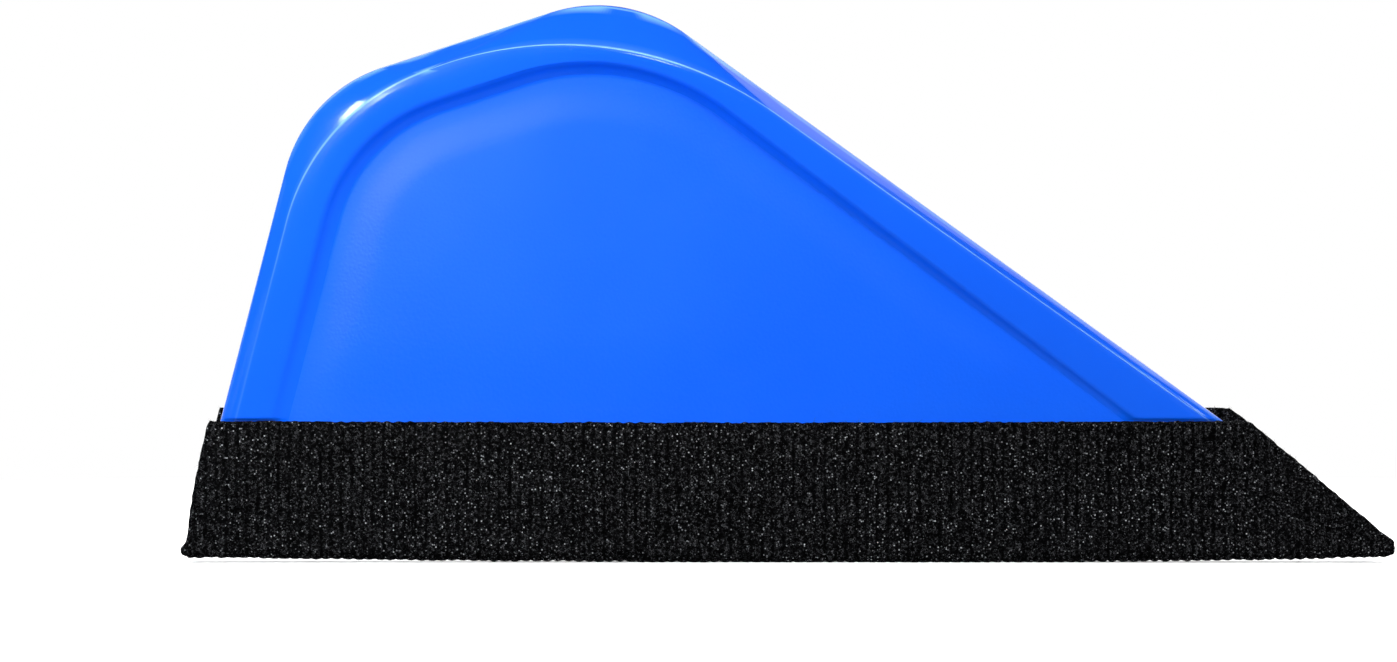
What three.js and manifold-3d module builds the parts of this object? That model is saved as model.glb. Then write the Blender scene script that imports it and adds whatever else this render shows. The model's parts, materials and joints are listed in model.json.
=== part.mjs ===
// Felt-edged hand squeegee: a one-piece moulded plate with a raised grip rim, and a felt strip glued
// round its working edge. Millimetres, +Z up. The working edge lies along X, with the pointed toe at
// +X; the front is -Y. The origin is at the middle of the foot of the felt.

import * as THREE from "three";
import { mergeVertices } from "three/addons/utils/BufferGeometryUtils.js";
import Module from "manifold-3d";

const wasm = await Module();
wasm.setup();

// Overall sizes, felt included.
const overallLength = 162;
const overallHeight = 74.4;

// Outer edge of the moulding, seen from the front.
const heelLean = 14.5; // degrees that the heel leans forward of upright
const shoulderSlope = 18; // degrees that the shoulder climbs towards the crown
const heelCornerRadius = 19.5;
const crownRadius = 20.2;
const crownFromHeel = 55.5; // from the felt's heel tip to the highest point
const heelOverhang = 0.3; // felt past the plate at the heel's foot
const toeOverrun = 3.3; // a sharp toe's foot would be this far past the felt's tip
const bladeHeelRadius = 1.2;
const bladeToeRadius = 1.2;

// Ridge of the grip rim: the crest between the outer bevel and the land.
const ridgeHeelInset = 2;
const ridgeToeInset = 0.8; // at the toe line's foot
const ridgeToeTwist = -0.5; // degrees steeper than the toe edge: it draws away from it going up
const ridgeCrownDrop = 5.4;
const ridgeSlope = 21.3;
const ridgeHeelRadius = 29;
const ridgeCrownRadius = 49;
const ridgeCrownSetback = 4.6; // its highest point is this far behind the crown

// Inner edge of the land, where the rim steps down to the web.
const landHeelInset = 6.5;
const landToeInset = 7.4; // at the toe line's foot
const landToeTwist = 1.2; // degrees steeper than the toe edge: it nears it going up
const landCrownDrop = 8.1;
const landSlope = 18;
const landHeelRadius = 22.8;
const landCrownRadius = 30.6;
const landCrownSetback = 2.4;
const stepWidth = 1.6; // width of the sloping step, from the land's edge to the web

// Thicknesses.
const webThickness = 2.8;
const rimOverPlate = 0.4; // the rim reaches this far outside the blade's own ends
const rimThicknessLow = 4.2; // across both lands, level with the top of the front flap
const rimThicknessTop = 8.4; // across both lands, level with the crown
const ridgeRound = 0.5; // width of the rounded crest
const rimFadeHeight = 1.3; // height over which the rim's ends slope down to the plate
const edgeThickness = 1.8; // blade at its working edge
const taperHeight = 17.5; // the blade gets thinner from this height down
const edgeChamfer = 0.4;

// Felt and its adhesive.
const feltThickness = 1.2;
const adhesiveThickness = 0.2;
const layerGap = 0.05; // between the blade, the adhesive and the felt
const frontFlapHeight = 18.9;
const backFlapHeight = 20.6;
const feltFoldRadius = 1.5;
const frontHeelMargin = 1.7; // front flap past the plate's heel edge, at its top
const backHeelMargin = 0.9; // back flap past the plate's heel edge, at its top
const feltToeMargin = 2.2; // both flaps past the plate's toe edge, at their tops
const feltTipHeight = 2.8; // the toe tip is cut upright below this height
const adhesiveInset = 0.4; // adhesive short of the blade's ends and of the flap tops
const rimToFelt = 0.3; // clearance between the rim's ends and the flaps

// Steps along the curves.
const heelSteps = 10;
const cornerSteps = 16;
const shoulderSteps = 4;
const crownSteps = 20;
const toeSteps = 18;
const roundSteps = 6;

const feltLiner = layerGap + adhesiveThickness + layerGap;
const tallFlapHeight = Math.max(frontFlapHeight, backFlapHeight);
const edgeHeight = feltThickness + feltLiner;
const webHalf = webThickness / 2;
const edgeHalf = edgeThickness / 2;
const heelTip = -overallLength / 2;
const toeTip = overallLength / 2;
const quarterTurn = Math.PI / 2;

// A straight line is a point and a unit direction; left of it is outside the moulding.
function lineAt(x, z, degrees) {
  const angle = THREE.MathUtils.degToRad(degrees);
  return { at: new THREE.Vector2(x, z), to: new THREE.Vector2(Math.cos(angle), Math.sin(angle)) };
}

function moveIn({ at, to }, inset) {
  const inward = new THREE.Vector2(to.y, -to.x);
  return { at: at.clone().addScaledVector(inward, inset), to };
}

function meet(a, b) {
  const t = b.at.clone().sub(a.at).cross(b.to) / a.to.cross(b.to);
  return a.at.clone().addScaledVector(a.to, t);
}

function atHeight({ at, to }, z) {
  return at.clone().addScaledVector(to, (z - at.y) / to.y);
}

function angleOf({ to }) {
  return Math.atan2(to.y, to.x);
}

// The arc of a right-hand corner between two lines: its centre, and its start and end angles.
function corner(before, after, radius) {
  const centre = meet(moveIn(before, radius), moveIn(after, radius));
  return { centre, radius, from: angleOf(before) + quarterTurn, to: angleOf(after) + quarterTurn };
}

function arcPoint({ centre, radius, from, to }, t) {
  const angle = THREE.MathUtils.lerp(from, to, t);
  return new THREE.Vector2(Math.cos(angle), Math.sin(angle)).multiplyScalar(radius).add(centre);
}

// Outer edge: the heel line, and the line from the toe that just touches the crown's arc.
const crownCentre = new THREE.Vector2(heelTip + crownFromHeel, overallHeight - crownRadius);
const toeFoot = new THREE.Vector2(toeTip + toeOverrun, 0);
const toCrown = toeFoot.clone().sub(crownCentre);
const toeAngle = Math.asin(crownRadius / toCrown.length()) + Math.atan2(-toCrown.y, toCrown.x);
const toeSlope = THREE.MathUtils.radToDeg(toeAngle);
const heelLine = lineAt(heelTip + heelOverhang, 0, 90 - heelLean);
const toeLine = lineAt(toeFoot.x, 0, -toeSlope);

// A shoulder line of the given slope that touches a crown arc of the given top point and radius.
function shoulderLine(topX, topZ, radius, slope) {
  const turn = THREE.MathUtils.degToRad(90 + slope);
  const z = topZ - radius + radius * Math.sin(turn);
  return lineAt(topX + radius * Math.cos(turn), z, slope);
}

const silhouette = {
  heel: heelLine,
  shoulder: shoulderLine(crownCentre.x, overallHeight, crownRadius, shoulderSlope),
  toe: toeLine,
  heelRadius: heelCornerRadius,
  crownRadius,
};

// Outlines inside the silhouette, each with a heel line, a shoulder line and a toe line of its own.
const ridge = {
  heel: moveIn(heelLine, ridgeHeelInset),
  shoulder: shoulderLine(
    crownCentre.x - ridgeCrownSetback,
    overallHeight - ridgeCrownDrop,
    ridgeCrownRadius,
    ridgeSlope,
  ),
  toe: moveIn(lineAt(toeFoot.x, 0, -toeSlope - ridgeToeTwist), ridgeToeInset),
  heelRadius: ridgeHeelRadius,
  crownRadius: ridgeCrownRadius,
};
const landEdge = {
  heel: moveIn(heelLine, landHeelInset),
  shoulder: shoulderLine(
    crownCentre.x - landCrownSetback,
    overallHeight - landCrownDrop,
    landCrownRadius,
    landSlope,
  ),
  toe: moveIn(lineAt(toeFoot.x, 0, -toeSlope - landToeTwist), landToeInset),
  heelRadius: landHeelRadius,
  crownRadius: landCrownRadius,
};

function inside(outline, inset) {
  return {
    heel: moveIn(outline.heel, inset),
    shoulder: moveIn(outline.shoulder, inset),
    toe: moveIn(outline.toe, inset),
    heelRadius: outline.heelRadius - inset,
    crownRadius: outline.crownRadius - inset,
  };
}

const webEdge = inside(landEdge, stepWidth);
const plateEdge = inside(silhouette, rimOverPlate);

// Points along an outline from the heel's foot to the toe's foot, always the same number of them.
function trace(outline, footHeight, fadeHeight) {
  const heelArc = corner(outline.heel, outline.shoulder, outline.heelRadius);
  const crownArc = corner(outline.shoulder, outline.toe, outline.crownRadius);
  const heelFoot = atHeight(outline.heel, footHeight);
  const toeEnd = atHeight(outline.toe, footHeight);
  const heelFade = atHeight(outline.heel, footHeight + fadeHeight);
  const toeFade = atHeight(outline.toe, footHeight + fadeHeight);
  const points = [];
  const straight = (from, to, steps) => {
    for (let i = 0; i < steps; i++) {
      points.push(from.clone().lerp(to, i / steps));
    }
  };
  const bend = (arc, steps) => {
    for (let i = 0; i < steps; i++) {
      points.push(arcPoint(arc, i / steps));
    }
  };
  straight(heelFoot, heelFade, roundSteps);
  straight(heelFade, arcPoint(heelArc, 0), heelSteps);
  bend(heelArc, cornerSteps);
  straight(arcPoint(heelArc, 1), arcPoint(crownArc, 0), shoulderSteps);
  bend(crownArc, crownSteps);
  straight(arcPoint(crownArc, 1), toeFade, toeSteps);
  straight(toeFade, toeEnd, roundSteps);
  points.push(toeEnd);
  return points;
}

// A solid through rings of points, each ring closed, with flat ends.
function loft(rings) {
  const count = rings[0].length;
  const position = rings.flat().flatMap((p) => [p.x, p.y, p.z]);
  const index = [];
  for (let i = 0; i + 1 < rings.length; i++) {
    for (let j = 0; j < count; j++) {
      const a = i * count + j;
      const b = i * count + ((j + 1) % count);
      index.push(a, b, a + count, b, b + count, a + count);
    }
  }
  const cap = (ring, reversed) => {
    const from = rings[ring];
    const flat = from.map((p) => new THREE.Vector2(p.x, p.y));
    const clockwise = THREE.ShapeUtils.isClockWise(flat);
    const start = ring * count;
    for (const [a, b, c] of THREE.ShapeUtils.triangulateShape(flat, [])) {
      const keep = clockwise === reversed;
      index.push(start + a, start + (keep ? b : c), start + (keep ? c : b));
    }
  };
  cap(0, true);
  cap(rings.length - 1, false);
  const geometry = new THREE.BufferGeometry();
  geometry.setAttribute("position", new THREE.Float32BufferAttribute(position, 3));
  geometry.setIndex(index);
  return geometry;
}

function solidOf(geometry) {
  const bare = geometry.clone();
  bare.deleteAttribute("normal");
  bare.deleteAttribute("uv");
  const merged = mergeVertices(bare, 1e-5);
  const vertProperties = new Float32Array(merged.attributes.position.array);
  const triVerts = new Uint32Array(merged.index.array);
  return new wasm.Manifold(new wasm.Mesh({ numProp: 3, vertProperties, triVerts }));
}

function geometryOf(solid) {
  const mesh = solid.getMesh();
  const geometry = new THREE.BufferGeometry();
  geometry.setAttribute("position", new THREE.Float32BufferAttribute(mesh.vertProperties, 3));
  geometry.setIndex(new THREE.BufferAttribute(mesh.triVerts, 1));
  geometry.computeVertexNormals();
  return geometry;
}

function extruded(points, depth) {
  const geometry = new THREE.ExtrudeGeometry(new THREE.Shape(points), { depth, bevelEnabled: false });
  return geometry.rotateX(quarterTurn);
}

// A flat outline in X and Z, as thick as stated, centred on Y = 0.
function plate(points, thickness) {
  return solidOf(extruded(points, thickness).translate(0, thickness / 2, 0));
}

// A section in Y and Z, run past both ends of the tool.
function bar(points) {
  const length = 2 * overallLength;
  return solidOf(extruded(points, length).rotateZ(quarterTurn).translate(-length / 2, 0, 0));
}

// The grip rim: one closed section at each station round the outline.
function gripRim() {
  const frontFoot = frontFlapHeight + rimToFelt;
  const backFoot = backFlapHeight + rimToFelt;
  const lowestFoot = Math.min(frontFoot, backFoot);
  const climb = (rimThicknessTop - rimThicknessLow) / 2 / (overallHeight - frontFlapHeight);
  const sunk = webHalf - layerGap;
  const landHalf = (z) => rimThicknessLow / 2 + (z - frontFlapHeight) * climb;
  const rimHalf = (z, foot) => {
    const fade = THREE.MathUtils.smoothstep(z, foot, foot + rimFadeHeight);
    return THREE.MathUtils.lerp(sunk, landHalf(z), fade);
  };
  const [outer, crest, inner, foot] = [silhouette, ridge, landEdge, webEdge].map((outline) =>
    trace(outline, lowestFoot, rimFadeHeight),
  );
  const rings = outer.map((edge, i) => {
    const bevel = crest[i].clone().sub(edge).normalize();
    const land = inner[i].clone().sub(crest[i]).normalize();
    const crestIn = crest[i].clone().addScaledVector(land, ridgeRound / 2);
    const crestOut = crest[i].clone().addScaledVector(bevel, -ridgeRound / 2);
    const drop = ridgeRound / 4;
    const half = (side, start) => [
      new THREE.Vector3(edge.x, side * Math.min(webHalf, rimHalf(edge.y, start)), edge.y),
      new THREE.Vector3(crestOut.x, side * Math.max(sunk, rimHalf(crest[i].y, start) - drop), crestOut.y),
      new THREE.Vector3(crestIn.x, side * rimHalf(crestIn.y, start), crestIn.y),
      new THREE.Vector3(inner[i].x, side * rimHalf(inner[i].y, start), inner[i].y),
      new THREE.Vector3(foot[i].x, side * sunk, foot[i].y),
    ];
    return [...half(-1, frontFoot), ...half(1, backFoot).reverse()];
  });
  return solidOf(loft(rings));
}

// The plate carries the web and the blade; its lower corners are rounded and its blade is tapered.
function bladeAndWeb() {
  const edgeLine = lineAt(0, edgeHeight, 180);
  const heelFoot = corner(edgeLine, plateEdge.heel, bladeHeelRadius);
  const toeNose = corner(plateEdge.toe, edgeLine, bladeToeRadius);
  toeNose.to -= 4 * quarterTurn;
  const outline = trace(plateEdge, taperHeight, rimFadeHeight);
  for (const arc of [toeNose, heelFoot]) {
    for (let i = 0; i <= roundSteps; i++) {
      outline.push(arcPoint(arc, i / roundSteps));
    }
  }
  const slope = (webHalf - edgeHalf) / (taperHeight - edgeHeight);
  const clear = 1;
  const below = edgeHeight - clear;
  const chamferTop = edgeHeight + edgeChamfer;
  const cut = (side) => [
    new THREE.Vector2(side * (webHalf + clear), taperHeight + clear),
    new THREE.Vector2(side * (webHalf + slope * clear), taperHeight + clear),
    new THREE.Vector2(side * (edgeHalf + slope * edgeChamfer), chamferTop),
    new THREE.Vector2(side * (edgeHalf + slope * edgeChamfer - chamferTop + below), below),
    new THREE.Vector2(side * (webHalf + clear), below),
  ];
  return plate(outline, webThickness).subtract(bar(cut(-1))).subtract(bar(cut(1)));
}

// Half the blade's thickness, with a layer that stands off it.
function bladeHalf(z, off) {
  const t = THREE.MathUtils.clamp((z - edgeHeight) / (taperHeight - edgeHeight), 0, 1);
  return THREE.MathUtils.lerp(edgeHalf, webHalf, t) + off;
}

// One side of a layer round the blade, from the flap's top down to the fold's middle.
function foldedSide(side, off, top, radius) {
  const floor = edgeHeight - off;
  const wall = bladeHalf(edgeHeight, off);
  const path = [
    new THREE.Vector2(side * bladeHalf(top, off), top),
    new THREE.Vector2(side * bladeHalf(taperHeight, off), taperHeight),
  ];
  for (let i = 0; i <= roundSteps; i++) {
    const angle = (quarterTurn * i) / roundSteps;
    const y = wall - radius * (1 - Math.cos(angle));
    path.push(new THREE.Vector2(side * y, floor + radius * (1 - Math.sin(angle))));
  }
  return path;
}

// A layer of stated thickness folded round the blade, standing off it by a stated amount.
function foldedLayer(off, thickness, innerRadius, outerRadius, frontTop, backTop) {
  const outerOff = off + thickness;
  return bar([
    ...foldedSide(-1, outerOff, frontTop, outerRadius),
    ...foldedSide(1, outerOff, backTop, outerRadius).reverse(),
    ...foldedSide(1, off, backTop, innerRadius),
    ...foldedSide(-1, off, frontTop, innerRadius).reverse(),
  ]);
}

// The felt covers the blade and runs past both its ends, in one strip folded under the edge. The back
// flap is cut closer to the heel than the front one.
function felt() {
  const clear = 1;
  const under = new THREE.Vector2(heelTip, 0);
  const frontHeel = atHeight(moveIn(heelLine, -frontHeelMargin), frontFlapHeight);
  const heelCut = { at: under, to: frontHeel.clone().sub(under).normalize() };
  const toeTop = atHeight(moveIn(toeLine, -feltToeMargin), backFlapHeight);
  const tip = new THREE.Vector2(toeTip, feltTipHeight);
  const toeCut = { at: tip, to: toeTop.clone().sub(tip).normalize() };
  const outline = [
    atHeight(heelCut, -clear),
    atHeight(heelCut, tallFlapHeight + clear),
    atHeight(toeCut, tallFlapHeight + clear),
    tip,
    new THREE.Vector2(toeTip, -clear),
  ];
  const backHeel = atHeight(moveIn(heelLine, -backHeelMargin), backFlapHeight);
  const start = atHeight(heelCut, feltTipHeight);
  const backCut = { at: start, to: backHeel.clone().sub(start).normalize() };
  const trim = [
    atHeight(backCut, feltTipHeight - clear),
    atHeight(backCut, tallFlapHeight + clear),
    new THREE.Vector2(heelTip - clear, tallFlapHeight + clear),
    new THREE.Vector2(heelTip - clear, feltTipHeight - clear),
  ];
  const backOnly = plate(trim, overallHeight).translate([0, overallHeight / 2 + layerGap, 0]);
  const tops = [frontFlapHeight, backFlapHeight];
  const fold = foldedLayer(feltLiner, feltThickness, layerGap, feltFoldRadius, ...tops);
  return fold.intersect(plate(outline, overallHeight)).subtract(backOnly);
}

// The adhesive follows the blade inside the felt, a little short of the blade's ends and flap tops.
function adhesive() {
  const heelInner = moveIn(plateEdge.heel, adhesiveInset);
  const toeInner = moveIn(plateEdge.toe, adhesiveInset);
  const foot = edgeHeight - feltThickness;
  const toeEnd = atHeight(toeInner, edgeHeight + 2 * bladeToeRadius);
  const outline = [
    atHeight(heelInner, foot),
    atHeight(heelInner, tallFlapHeight),
    atHeight(toeInner, tallFlapHeight),
    toeEnd,
    new THREE.Vector2(toeEnd.x, foot),
  ];
  const tops = [frontFlapHeight - adhesiveInset, backFlapHeight - adhesiveInset];
  const fold = foldedLayer(layerGap, adhesiveThickness, layerGap, layerGap, ...tops);
  return fold.intersect(plate(outline, overallHeight));
}

function part(name, solid, color, roughness) {
  const material = new THREE.MeshStandardMaterial({ color, roughness, metalness: 0 });
  const mesh = new THREE.Mesh(geometryOf(solid), material);
  mesh.name = name;
  return mesh;
}

const squeegee = new THREE.Group();
squeegee.add(part("squeegee_body", bladeAndWeb().add(gripRim()), 0x1f66f5, 0.32));
squeegee.add(part("adhesive_film", adhesive(), 0xe8e2cf, 0.5));
squeegee.add(part("felt_wrap", felt(), 0x121214, 0.97));

export default squeegee;
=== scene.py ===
"""Looks of a felt-edged hand squeegee: the blue moulding with its grip rim, the black knit felt
folded round the working edge, the felt's loose fibres, the adhesive film and the stage.

The shop drawing's sizes below are in millimetres, with +Z up and the working edge along X; the
pointed toe is at +X and the front faces -Y. Meshes are made in metres."""

import json
import math
import random
from collections import namedtuple

import bmesh
import bpy
import numpy as np
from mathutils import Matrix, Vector, noise


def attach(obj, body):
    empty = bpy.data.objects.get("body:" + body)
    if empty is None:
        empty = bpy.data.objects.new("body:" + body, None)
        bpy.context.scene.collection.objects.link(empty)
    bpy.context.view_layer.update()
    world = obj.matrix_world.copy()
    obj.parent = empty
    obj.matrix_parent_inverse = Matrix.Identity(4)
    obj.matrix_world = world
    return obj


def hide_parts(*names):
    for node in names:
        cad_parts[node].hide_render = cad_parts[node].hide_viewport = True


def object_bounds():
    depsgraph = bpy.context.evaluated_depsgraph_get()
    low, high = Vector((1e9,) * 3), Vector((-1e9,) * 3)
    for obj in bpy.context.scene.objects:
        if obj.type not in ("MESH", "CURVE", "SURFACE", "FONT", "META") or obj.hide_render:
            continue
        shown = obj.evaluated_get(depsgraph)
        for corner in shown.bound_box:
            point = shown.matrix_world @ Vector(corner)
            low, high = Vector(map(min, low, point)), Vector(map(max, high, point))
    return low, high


bl_info = {
    "name": "Felt-Edged Hand Squeegee",
    "version": (1, 0, 0),
    "blender": (4, 5, 0),
    "location": "3D View > Sidebar > Squeegee",
    "description": "Builds the moulding, folded felt, loose fibres and stage of a hand squeegee",
    "category": "Add Mesh",
}

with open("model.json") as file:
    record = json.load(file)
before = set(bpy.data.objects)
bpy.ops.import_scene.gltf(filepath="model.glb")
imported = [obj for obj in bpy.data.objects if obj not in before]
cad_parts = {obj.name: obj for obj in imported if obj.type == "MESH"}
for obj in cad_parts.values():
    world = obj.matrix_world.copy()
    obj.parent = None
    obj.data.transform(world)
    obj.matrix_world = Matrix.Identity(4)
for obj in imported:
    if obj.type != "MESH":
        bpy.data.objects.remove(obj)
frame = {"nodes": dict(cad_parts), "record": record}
CAD_LOW, CAD_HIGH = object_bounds()
RECORD_COLOURS = {m["slot"]: m["base_color"] for m in frame["record"]["materials"]}

MM = 0.001
HEIGHT = (CAD_HIGH.z - CAD_LOW.z) / MM
HEEL_TIP = CAD_LOW.x / MM
TOE_TIP = CAD_HIGH.x / MM

# Outer edge of the moulding, seen from the front.
HEEL_LEAN = 14.5
SHOULDER_SLOPE = 18
HEEL_RADIUS = 19.5
CROWN_RADIUS = 20.2
CROWN_FROM_HEEL = 55.5
HEEL_OVERHANG = 0.3
TOE_OVERRUN = 3.3

# Thickness of the moulding: web, grip rim and blade.
WEB_HALF = 1.4
EDGE_HALF = 0.9
RIM_HALF_LOW = 2.1
RIM_HALF_TOP = 4.2
FRONT_FOOT = 18.8
BACK_FOOT = 20.5
FADE_HEIGHT = 0.45
TAPER_HEIGHT = 17.5
EDGE_HEIGHT = 1.5

# The felt strip, folded round the blade.
FRONT_FLAP = 18.9
BACK_FLAP = 20.6
FELT_LINER = 0.3
FOLD_RADIUS = 1.5

Line = namedtuple("Line", "at to")
Arc = namedtuple("Arc", "centre radius start end")
Outline = namedtuple("Outline", "heel shoulder toe heel_radius crown_radius")


# ---------------------------------------------------------------- outlines


def line_at(x, z, degrees):
    angle = math.radians(degrees)
    return Line(Vector((x, z)), Vector((math.cos(angle), math.sin(angle))))


def moved_in(line, inset):
    return Line(line.at + inset * Vector((line.to.y, -line.to.x)), line.to)


def meeting(a, b):
    along = (b.at - a.at).cross(b.to) / a.to.cross(b.to)
    return a.at + along * a.to


def at_height(line, z):
    return line.at + (z - line.at.y) / line.to.y * line.to


def corner(before, after, radius):
    centre = meeting(moved_in(before, radius), moved_in(after, radius))
    turn = math.pi / 2
    start = math.atan2(before.to.y, before.to.x) + turn
    return Arc(centre, radius, start, math.atan2(after.to.y, after.to.x) + turn)


def arc_point(arc, t):
    angle = arc.start + (arc.end - arc.start) * t
    return arc.centre + arc.radius * Vector((math.cos(angle), math.sin(angle)))


def shoulder_line(top_x, top_z, radius, slope):
    turn = math.radians(90 + slope)
    z = top_z - radius + radius * math.sin(turn)
    return line_at(top_x + radius * math.cos(turn), z, slope)


CROWN_X = HEEL_TIP + CROWN_FROM_HEEL
TOE_FOOT = TOE_TIP + TOE_OVERRUN
TO_CROWN = Vector((TOE_FOOT - CROWN_X, CROWN_RADIUS - HEIGHT))
TOE_SLOPE = math.degrees(
    math.asin(CROWN_RADIUS / TO_CROWN.length) + math.atan2(-TO_CROWN.y, TO_CROWN.x)
)
HEEL_LINE = line_at(HEEL_TIP + HEEL_OVERHANG, 0, 90 - HEEL_LEAN)
TOE_LINE = line_at(TOE_FOOT, 0, -TOE_SLOPE)


def outline(heel_in, toe_in, toe_twist, drop, slope, heel_radius, crown_radius, setback):
    """One outline of the moulding, inside the outer edge by the amounts stated."""
    return Outline(
        moved_in(HEEL_LINE, heel_in),
        shoulder_line(CROWN_X - setback, HEIGHT - drop, crown_radius, slope),
        moved_in(line_at(TOE_FOOT, 0, -TOE_SLOPE - toe_twist), toe_in),
        heel_radius,
        crown_radius,
    )


def inside(edge, inset, toe_inset):
    """An outline further in than another: by one amount at the heel, by a second along the toe."""
    crown_inset = (inset + toe_inset) / 2
    return Outline(
        moved_in(edge.heel, inset),
        moved_in(edge.shoulder, crown_inset),
        moved_in(edge.toe, toe_inset),
        edge.heel_radius - inset,
        edge.crown_radius - crown_inset,
    )


OUTER_EDGE = outline(0, 0, 0, 0, SHOULDER_SLOPE, HEEL_RADIUS, CROWN_RADIUS, 0)
RIDGE = outline(2, 0.8, -0.5, 5.4, 21.3, 29, 49, 4.6)
LAND_EDGE = outline(6.5, 7.4, 1.2, 8.1, 18, 22.8, 30.6, 2.4)
WALL_FOOT = inside(LAND_EDGE, 0.9, 0.55)
WEB_EDGE = inside(LAND_EDGE, 2.3, 1.3)
WEB_INNER = inside(LAND_EDGE, 3.4, 2.6)

FOOT_STEPS = 16
FOOT_SPAN = 3.2
HEEL_STEPS = 22
CORNER_STEPS = 44
SHOULDER_STEPS = 26
CROWN_STEPS = 56
TOE_STEPS = 108


def traced(edge):
    """Points along an outline from the heel's foot over the crown to the toe's foot."""
    heel_arc = corner(edge.heel, edge.shoulder, edge.heel_radius)
    crown_arc = corner(edge.shoulder, edge.toe, edge.crown_radius)
    lines = (
        (at_height(edge.heel, FRONT_FOOT), at_height(edge.heel, FRONT_FOOT + FOOT_SPAN)),
        (at_height(edge.heel, FRONT_FOOT + FOOT_SPAN), arc_point(heel_arc, 0)),
        (arc_point(heel_arc, 1), arc_point(crown_arc, 0)),
        (arc_point(crown_arc, 1), at_height(edge.toe, FRONT_FOOT + FOOT_SPAN)),
        (at_height(edge.toe, FRONT_FOOT + FOOT_SPAN), at_height(edge.toe, FRONT_FOOT)),
    )

    def straight(line, steps):
        return [line[0].lerp(line[1], i / steps) for i in range(steps)]

    def bend(arc, steps):
        return [arc_point(arc, i / steps) for i in range(steps)]

    points = (
        straight(lines[0], FOOT_STEPS)
        + straight(lines[1], HEEL_STEPS)
        + bend(heel_arc, CORNER_STEPS)
        + straight(lines[2], SHOULDER_STEPS)
        + bend(crown_arc, CROWN_STEPS)
        + straight(lines[3], TOE_STEPS)
        + straight(lines[4], FOOT_STEPS)
        + [lines[4][1]]
    )
    return np.array([tuple(p) for p in points])


# ---------------------------------------------------------------- settings

DISTANCE = {"subtype": "DISTANCE", "unit": "LENGTH", "precision": 5}
COLOUR = {"size": 3, "min": 0.0, "max": 1.0, "subtype": "COLOR"}
SHARE = {"min": 0.0, "max": 1.0, "subtype": "FACTOR"}
POWER = {"min": 0.0, "unit": "POWER"}


class SqueegeeMouldingSettings(bpy.types.PropertyGroup):
    flange_round: bpy.props.FloatProperty(
        name="Flange Round", description="How far back the outer flange's edge is rounded",
        default=0.55 * MM, min=0.1 * MM, max=1.2 * MM, **DISTANCE
    )
    crest_round: bpy.props.FloatProperty(
        name="Crest Round", description="How far back the crest of the grip rim is rounded",
        default=0.22 * MM, min=0.1 * MM, max=1.5 * MM, **DISTANCE
    )
    parting_line: bpy.props.FloatProperty(
        name="Parting Line",
        description="Height of the witness line that the two mould halves leave",
        default=0.05 * MM, min=0.0, max=0.2 * MM, **DISTANCE
    )
    land_swell: bpy.props.FloatProperty(
        name="Land Swell", description="How far the land of the grip rim swells between its edges",
        default=0.1 * MM, min=0.0, max=0.5 * MM, **DISTANCE
    )
    web_swell: bpy.props.FloatProperty(
        name="Web Swell", description="How far the middle of the thin web stands above its border",
        default=0.3 * MM, min=0.0, max=0.5 * MM, **DISTANCE
    )
    plastic_colour: bpy.props.FloatVectorProperty(
        name="Plastic Colour", description="Colour of the moulded plastic",
        default=(0.0035, 0.129, 1.0), **COLOUR
    )
    # The colour of the highlight painted along the grip rim's crest and just inside its outer edge.
    highlight_colour: bpy.props.FloatVectorProperty(
        name="Highlight Colour",
        description="Colour of the highlight painted along the crest and outer edge of the grip rim",
        default=(0.26, 0.6, 1.0), **COLOUR
    )
    rim_roughness: bpy.props.FloatProperty(
        name="Rim Roughness", description="Roughness of the polished grip rim",
        default=0.13, **SHARE
    )
    web_roughness: bpy.props.FloatProperty(
        name="Web Roughness", description="Roughness of the finely textured web",
        default=0.29, **SHARE
    )


class SqueegeeFeltSettings(bpy.types.PropertyGroup):
    thickness: bpy.props.FloatProperty(
        name="Thickness", description="Thickness of the knit felt",
        default=1.2 * MM, min=0.5 * MM, max=2.0 * MM, **DISTANCE
    )
    rib_pitch: bpy.props.FloatProperty(
        name="Rib Pitch", description="Distance from one knitted rib to the next",
        default=1.4 * MM, min=0.8 * MM, max=3.0 * MM, **DISTANCE
    )
    rib_depth: bpy.props.FloatProperty(
        name="Rib Depth", description="Depth of the grooves between the ribs",
        default=0.15 * MM, min=0.0, max=0.4 * MM, **DISTANCE
    )
    raggedness: bpy.props.FloatProperty(
        name="Raggedness", description="How far the cut edges wander from straight",
        default=0.14 * MM, min=0.0, max=0.6 * MM, **DISTANCE
    )
    felt_colour: bpy.props.FloatVectorProperty(
        name="Felt Colour", description="Colour of the dyed yarn",
        default=(0.0011, 0.0011, 0.0012), **COLOUR
    )
    # The colour of the painted glints on fibre ends in the yarn.
    glint_colour: bpy.props.FloatVectorProperty(
        name="Glint Colour", description="Colour of the glints painted on bright fibre ends in the yarn",
        default=(0.85, 0.87, 0.92), **COLOUR
    )
    fibre_count: bpy.props.IntProperty(
        name="Loose Fibres", description="Number of loose fibres that stand off the felt",
        default=7500, min=0, max=20000
    )
    fibre_length: bpy.props.FloatProperty(
        name="Fibre Length", description="Length of a typical loose fibre",
        default=0.9 * MM, min=0.3 * MM, max=3.0 * MM, **DISTANCE
    )


class SqueegeeAdhesiveSettings(bpy.types.PropertyGroup):
    film_colour: bpy.props.FloatVectorProperty(
        name="Film Colour", description="Colour of the adhesive film under the felt",
        default=RECORD_COLOURS["adhesive"], **COLOUR
    )


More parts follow.
